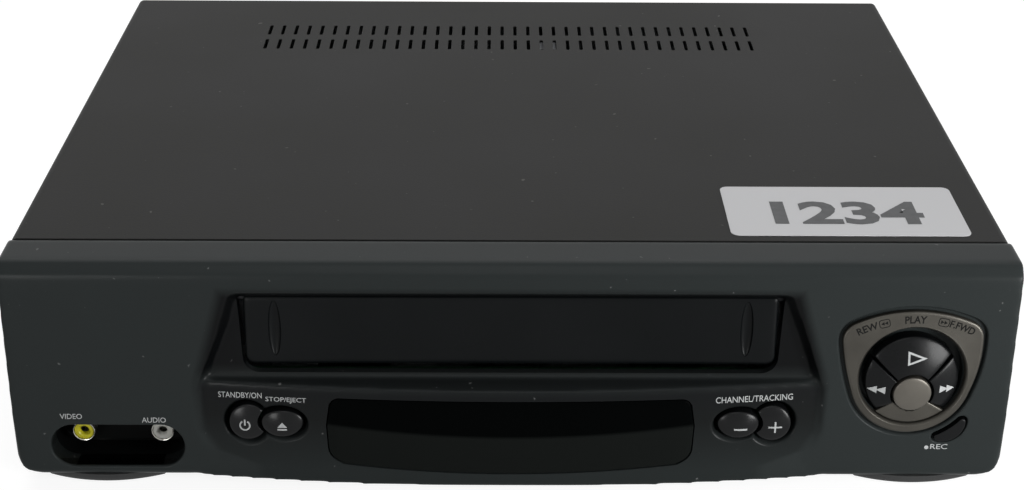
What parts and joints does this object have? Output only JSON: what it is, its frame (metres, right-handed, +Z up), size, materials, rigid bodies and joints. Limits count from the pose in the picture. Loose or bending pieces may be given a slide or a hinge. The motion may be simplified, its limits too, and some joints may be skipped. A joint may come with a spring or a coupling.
{
  "type": "video cassette recorder",
  "caption": "Front-loading video cassette recorder with a hinged cassette flap, display window, round transport keys and a full tape deck inside a steel cover.",
  "frame": {"origin": "centre of the footprint, on the surface that the feet stand on", "axes": "+X to the right as seen from the front, +Y towards the back, +Z up; the front panel faces -Y"},
  "size_m": [0.361, 0.2939, 0.0892],
  "materials": {
    "dark_steel": "fine-textured matt grey stoved enamel",
    "front_plastic": "moulded polystyrene with a satin spark-eroded grain",
    "black_plastic": "plain moulded black plastic",
    "flap_plastic": "satin black moulding",
    "gloss_window": "polished smoked acrylic",
    "gloss_key": "polished black moulding",
    "silver_trim": "warm silver paint on plastic",
    "plain_steel": "zinc-plated sheet steel",
    "drum_alloy": "turned and polished",
    "brass": "turned",
    "rubber": "matt moulded rubber",
    "board": "printed circuit board with solder mask",
    "parts": "moulded component cases",
    "core": "varnished core laminations",
    "display_glass": "dark display tube",
    "yellow_plastic": "yellow insulator in a plated barrel",
    "white_plastic": "white insulator in a plated barrel",
    "acetal": "natural white acetal",
    "label": "coated white sticker"
  },
  "bodies": {
    "root": {"top_cover": "dark_steel", "front_panel": "front_plastic", "bottom_chassis": "black_plastic", "rear_panel": "plain_steel", "cover_screws": "plain_steel", "front_feet": "rubber", "rear_feet": "rubber", "display_window": "gloss_window", "transport_trim": "silver_trim", "stock_label": "label", "flap_spring": "plain_steel", "video_jack": "yellow_plastic", "audio_jack": "white_plastic", "front_boards": "board", "key_switches": "parts", "display_module": "display_glass", "main_board": "board", "board_components": "parts", "power_transformer": "core", "power_heatsink": "drum_alloy", "tuner_module": "plain_steel", "aerial_sockets": "plain_steel", "scart_sockets": "black_plastic", "mains_gland": "rubber", "deck_stay": "plain_steel", "deck_plate": "plain_steel", "left_bracket": "plain_steel", "right_bracket": "plain_steel", "lower_drum": "drum_alloy", "reel_belt": "rubber", "erase_head": "plain_steel", "audio_head": "plain_steel", "loading_motor": "plain_steel"},
    "flap": {"cassette_flap": "flap_plastic"},
    "power_key": {"power_key": "gloss_key"},
    "eject_key": {"eject_key": "gloss_key"},
    "channel_down_key": {"channel_down_key": "gloss_key"},
    "channel_up_key": {"channel_up_key": "gloss_key"},
    "play_key": {"play_key": "gloss_key"},
    "rewind_key": {"rewind_key": "gloss_key"},
    "fast_forward_key": {"fast_forward_key": "gloss_key"},
    "centre_key": {"centre_key": "silver_trim"},
    "record_key": {"record_key": "gloss_key"},
    "capstan": {"capstan": "plain_steel"},
    "supply_reel": {"supply_reel": "acetal"},
    "takeup_reel": {"takeup_reel": "acetal"},
    "clutch_pulley": {"clutch_pulley": "black_plastic"},
    "idler_arm": {"idler_arm": "plain_steel"},
    "idler_wheel": {"idler_wheel": "rubber"},
    "pinch_arm": {"pinch_arm": "plain_steel"},
    "pinch_roller": {"pinch_roller": "rubber"},
    "tension_arm": {"tension_arm": "plain_steel"},
    "supply_guide": {"supply_guide": "brass"},
    "takeup_guide": {"takeup_guide": "brass"},
    "carriage_frame": {"carriage_frame": "plain_steel"},
    "cassette_holder": {"cassette_holder": "plain_steel"},
    "carriage_pinion": {"carriage_pinion": "acetal"},
    "cam_gear": {"cam_gear": "acetal"},
    "motor_pinion": {"motor_pinion": "brass"},
    "upper_drum": {"upper_drum": "drum_alloy"}
  },
  "joints": [
    {"name": "flap_hinge", "type": "hinge", "parent": "root", "child": "flap", "pos_m": [0, -0.12716, 0.0734], "axis": [1, 0, 0], "range_deg": [0, 96], "stiffness_Nm_per_rad": 0.02, "springref_deg": -20.05},
    {"name": "power_press", "type": "slide", "parent": "root", "child": "power_key", "axis": [0, 1, 0], "range_m": [0, 0.0008], "stiffness_N_per_m": 400},
    {"name": "eject_press", "type": "slide", "parent": "root", "child": "eject_key", "axis": [0, 1, 0], "range_m": [0, 0.0008], "stiffness_N_per_m": 400},
    {"name": "channel_down_press", "type": "slide", "parent": "root", "child": "channel_down_key", "axis": [0, 1, 0], "range_m": [0, 0.0008], "stiffness_N_per_m": 400},
    {"name": "channel_up_press", "type": "slide", "parent": "root", "child": "channel_up_key", "axis": [0, 1, 0], "range_m": [0, 0.0008], "stiffness_N_per_m": 400},
    {"name": "play_press", "type": "slide", "parent": "root", "child": "play_key", "axis": [0, 0.9962, -0.0872], "range_m": [0, 0.0008], "stiffness_N_per_m": 400},
    {"name": "rewind_press", "type": "slide", "parent": "root", "child": "rewind_key", "axis": [0, 0.9962, -0.0872], "range_m": [0, 0.0008], "stiffness_N_per_m": 400},
    {"name": "fast_forward_press", "type": "slide", "parent": "root", "child": "fast_forward_key", "axis": [0, 0.9962, -0.0872], "range_m": [0, 0.0008], "stiffness_N_per_m": 400},
    {"name": "centre_press", "type": "slide", "parent": "root", "child": "centre_key", "axis": [0, 0.9962, -0.0872], "range_m": [0, 0.0008], "stiffness_N_per_m": 400},
    {"name": "record_press", "type": "slide", "parent": "root", "child": "record_key", "axis": [0, 0.9962, -0.0872], "range_m": [0, 0.0008], "stiffness_N_per_m": 400},
    {"name": "drum_spin", "type": "hinge", "parent": "root", "child": "upper_drum", "pos_m": [0, 0.048, 0.0262], "axis": [0, -0.0872, 0.9962], "continuous": true},
    {"name": "capstan_spin", "type": "hinge", "parent": "root", "child": "capstan", "pos_m": [0.066, 0.002, 0.02], "axis": [0, 0, 1], "continuous": true},
    {"name": "clutch_spin", "type": "hinge", "parent": "root", "child": "clutch_pulley", "pos_m": [0, -0.086, 0.02], "axis": [0, 0, 1], "continuous": true},
    {"name": "supply_reel_spin", "type": "hinge", "parent": "root", "child": "supply_reel", "pos_m": [-0.046, -0.052, 0.026], "axis": [0, 0, 1], "continuous": true},
    {"name": "takeup_reel_spin", "type": "hinge", "parent": "root", "child": "takeup_reel", "pos_m": [0.046, -0.052, 0.026], "axis": [0, 0, 1], "continuous": true},
    {"name": "idler_swing", "type": "hinge", "parent": "root", "child": "idler_arm", "pos_m": [0, -0.086, 0.026], "axis": [0, 0, 1], "range_deg": [-6, 6]},
    {"name": "idler_spin", "type": "hinge", "parent": "idler_arm", "child": "idler_wheel", "pos_m": [0, -0.052, 0.027], "axis": [0, 0, 1], "continuous": true},
    {"name": "pinch_arm_swing", "type": "hinge", "parent": "root", "child": "pinch_arm", "pos_m": [0.088, 0.02, 0.03], "axis": [0, 0, 1], "range_deg": [0, 35]},
    {"name": "pinch_roller_spin", "type": "hinge", "parent": "pinch_arm", "child": "pinch_roller", "pos_m": [0.0693, 0.0203, 0.035], "axis": [0, 0, 1], "continuous": true},
    {"name": "tension_arm_swing", "type": "hinge", "parent": "root", "child": "tension_arm", "pos_m": [-0.07, -0.02, 0.027], "axis": [0, 0, 1], "range_deg": [0, 14], "stiffness_Nm_per_rad": 0.02},
    {"name": "cam_gear_turn", "type": "hinge", "parent": "root", "child": "cam_gear", "pos_m": [0.066, 0.066, 0.033], "axis": [0, 0, 1], "range_deg": [0, 200]},
    {"name": "motor_pinion_spin", "type": "hinge", "parent": "root", "child": "motor_pinion", "pos_m": [0.08979, 0.07709, 0.033], "axis": [0, 0, 1], "range_deg": [-645, 0]},
    {"name": "supply_guide_slide", "type": "slide", "parent": "root", "child": "supply_guide", "axis": [-0.2912, 0.9567, 0], "range_m": [0, 0.048]},
    {"name": "takeup_guide_slide", "type": "slide", "parent": "root", "child": "takeup_guide", "axis": [0.2912, 0.9567, 0], "range_m": [0, 0.048]},
    {"name": "carriage_slide", "type": "slide", "parent": "root", "child": "carriage_frame", "axis": [0, 1, 0], "range_m": [0, 0.066]},
    {"name": "holder_lower", "type": "slide", "parent": "carriage_frame", "child": "cassette_holder", "axis": [0, 0, -1], "range_m": [0, 0.0151]},
    {"name": "carriage_pinion_spin", "type": "hinge", "parent": "root", "child": "carriage_pinion", "pos_m": [0.105, -0.02, 0.0593], "axis": [1, 0, 0], "range_deg": [-379, 0]}
  ],
  "couplings": [
    {"joint": "motor_pinion_spin", "follows": "cam_gear_turn", "ratio": -3.2},
    {"joint": "supply_guide_slide", "follows": "cam_gear_turn", "m_per_rad": 0.01375},
    {"joint": "takeup_guide_slide", "follows": "cam_gear_turn", "m_per_rad": 0.01375},
    {"joint": "carriage_pinion_spin", "follows": "carriage_slide", "rad_per_m": -100},
    {"joint": "clutch_spin", "follows": "capstan_spin", "ratio": 0.53846},
    {"joint": "idler_spin", "follows": "capstan_spin", "ratio": -0.4837}
  ]
}
